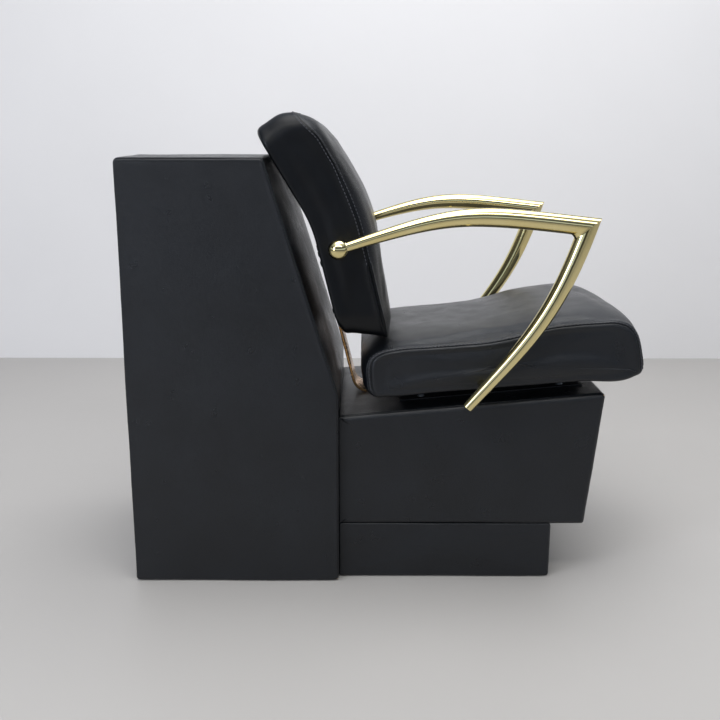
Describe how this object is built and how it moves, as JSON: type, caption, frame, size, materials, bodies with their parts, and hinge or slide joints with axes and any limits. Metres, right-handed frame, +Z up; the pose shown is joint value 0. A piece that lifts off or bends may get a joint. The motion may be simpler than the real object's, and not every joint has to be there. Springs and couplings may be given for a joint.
{
  "type": "salon dryer chair",
  "caption": "Salon dryer chair: padded seat and curved back on a flat bar with bent tube arms, over a seat box and plinth, before a tall covered cabinet whose top carries a hood dryer.",
  "frame": {"origin": "middle of the chair's floor plan, on the floor", "axes": "+Z up, +X the way the sitter faces, +Y the sitter's left"},
  "size_m": [0.9214, 0.537, 0.8503],
  "materials": {
    "black_vinyl": "satin, fine grain",
    "gold_plated_steel": "polished",
    "plywood": "raw",
    "hardwood": "raw",
    "black_board": "matt stain",
    "black_steel": "semi-gloss",
    "zinc_plated_steel": "bright zinc",
    "black_plastic": "moulded",
    "glide_plastic": "moulded",
    "dust_cloth": "non-woven"
  },
  "bodies": {
    "chair": {"cabinet_right_side": "plywood", "cabinet_left_side": "plywood", "cabinet_top": "plywood", "cabinet_slope": "plywood", "cabinet_front": "plywood", "cabinet_corner_blocks": "hardwood", "cabinet_cleats": "hardwood", "cabinet_back_panel": "black_board", "back_panel_screws": "black_steel", "cabinet_cover": "black_vinyl", "seat_box_right_side": "plywood", "seat_box_left_side": "plywood", "seat_box_top": "plywood", "seat_box_front": "plywood", "seat_box_bottom": "plywood", "seat_box_rear": "plywood", "seat_box_cover": "black_vinyl", "box_joining_bolts": "zinc_plated_steel", "box_joining_nuts": "zinc_plated_steel", "plinth_right_side": "plywood", "plinth_left_side": "plywood", "plinth_front": "plywood", "plinth_corner_blocks": "hardwood", "plinth_screws": "zinc_plated_steel", "plinth_cover": "black_vinyl", "glide_sockets": "zinc_plated_steel", "seat_rail_right": "black_steel", "seat_rail_left": "black_steel", "seat_base_bolts": "zinc_plated_steel", "seat_base_nuts": "zinc_plated_steel", "seat_rail_bolts": "zinc_plated_steel", "seat_board": "plywood", "seat_board_inserts": "zinc_plated_steel", "seat_dust_cover": "dust_cloth", "seat_cushion": "black_vinyl", "back_bar": "gold_plated_steel", "back_bar_cap": "black_plastic", "back_bar_bolts": "black_steel", "backrest_board": "plywood", "backrest_inserts": "zinc_plated_steel", "backrest_side_blocks": "hardwood", "backrest_rear_panel": "black_vinyl", "backrest_cushion": "black_vinyl", "arm_right_upper_tube": "gold_plated_steel", "arm_left_upper_tube": "gold_plated_steel", "arm_right_down_tube": "gold_plated_steel", "arm_left_down_tube": "gold_plated_steel", "arm_right_ball": "gold_plated_steel", "arm_left_ball": "gold_plated_steel", "arm_end_plugs": "gold_plated_steel", "arm_rear_studs": "zinc_plated_steel", "arm_seat_studs": "zinc_plated_steel", "arm_barrel_nuts": "zinc_plated_steel"},
    "glide_rear_right": {"glide_rear_right": "glide_plastic"},
    "glide_rear_left": {"glide_rear_left": "glide_plastic"},
    "glide_middle_right": {"glide_middle_right": "glide_plastic"},
    "glide_middle_left": {"glide_middle_left": "glide_plastic"},
    "glide_front_right": {"glide_front_right": "glide_plastic"},
    "glide_front_left": {"glide_front_left": "glide_plastic"}
  },
  "joints": [
    {"name": "glide_rear_right_turn_out", "type": "slide", "parent": "chair", "child": "glide_rear_right", "axis": [0, 0, -1], "range_m": [0, 0.012]},
    {"name": "glide_rear_left_turn_out", "type": "slide", "parent": "chair", "child": "glide_rear_left", "axis": [0, 0, -1], "range_m": [0, 0.012]},
    {"name": "glide_middle_right_turn_out", "type": "slide", "parent": "chair", "child": "glide_middle_right", "axis": [0, 0, -1], "range_m": [0, 0.012]},
    {"name": "glide_middle_left_turn_out", "type": "slide", "parent": "chair", "child": "glide_middle_left", "axis": [0, 0, -1], "range_m": [0, 0.012]},
    {"name": "glide_front_right_turn_out", "type": "slide", "parent": "chair", "child": "glide_front_right", "axis": [0, 0, -1], "range_m": [0, 0.012]},
    {"name": "glide_front_left_turn_out", "type": "slide", "parent": "chair", "child": "glide_front_left", "axis": [0, 0, -1], "range_m": [0, 0.012]}
  ]
}
